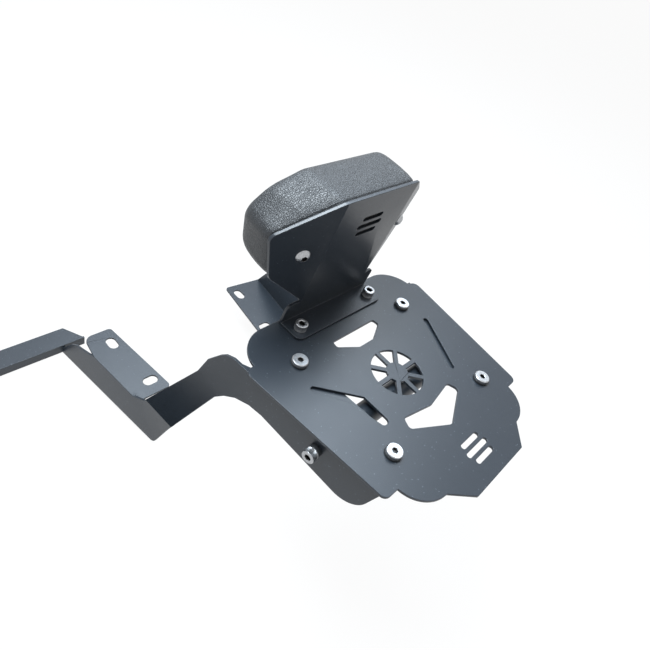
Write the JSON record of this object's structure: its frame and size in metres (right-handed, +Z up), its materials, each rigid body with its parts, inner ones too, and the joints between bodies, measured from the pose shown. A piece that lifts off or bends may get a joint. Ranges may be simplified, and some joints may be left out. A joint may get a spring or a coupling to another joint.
{
  "type": "luggage carrier with backrest",
  "caption": "Folded steel motorbike luggage carrier: pierced deck on cranked side arms with slotted foot tabs and a front bar, and a bolted backrest plate with a padded cushion",
  "frame": {"origin": "midway between the two rear fixing slots, on the underside of the foot tabs", "axes": "+X to the right of the bike; +Y toward the front of the bike, from the deck to the backrest and front bar; +Z up, normal to the deck and the tabs"},
  "size_m": [0.4049, 0.5427, 0.4274],
  "materials": {
    "powder_coat": "satin black powder coat",
    "bright_screw": "bright turned steel",
    "zinc_plate": "zinc plated",
    "black_collar": "black anodised",
    "leatherette": "black grained leatherette",
    "board": "moulded black board"
  },
  "bodies": {
    "root": {"backrest_cushion": "leatherette", "backrest_plate": "powder_coat", "cross_tube": "powder_coat", "cushion_board": "board", "deck_plate": "powder_coat", "front_left_deck_collar": "black_collar", "front_left_deck_nut": "zinc_plate", "front_left_deck_screw": "bright_screw", "front_left_deck_washer": "zinc_plate", "front_right_deck_collar": "black_collar", "front_right_deck_nut": "zinc_plate", "front_right_deck_screw": "bright_screw", "front_right_deck_washer": "zinc_plate", "left_arm": "powder_coat", "left_cushion_insert": "zinc_plate", "left_cushion_screw": "bright_screw", "left_foot_nut": "zinc_plate", "left_foot_screw": "bright_screw", "left_foot_washer": "zinc_plate", "left_front_bar": "powder_coat", "left_tube_collar": "black_collar", "left_tube_plug": "powder_coat", "left_tube_screw": "bright_screw", "rear_left_deck_collar": "black_collar", "rear_left_deck_nut": "zinc_plate", "rear_left_deck_screw": "bright_screw", "rear_left_deck_washer": "zinc_plate", "rear_right_deck_collar": "black_collar", "rear_right_deck_nut": "zinc_plate", "rear_right_deck_screw": "bright_screw", "rear_right_deck_washer": "zinc_plate", "right_arm": "powder_coat", "right_cushion_insert": "zinc_plate", "right_cushion_screw": "bright_screw", "right_foot_nut": "zinc_plate", "right_foot_screw": "bright_screw", "right_foot_washer": "zinc_plate", "right_tube_collar": "black_collar", "right_tube_plug": "powder_coat", "right_tube_screw": "bright_screw"}
  },
  "joints": []
}
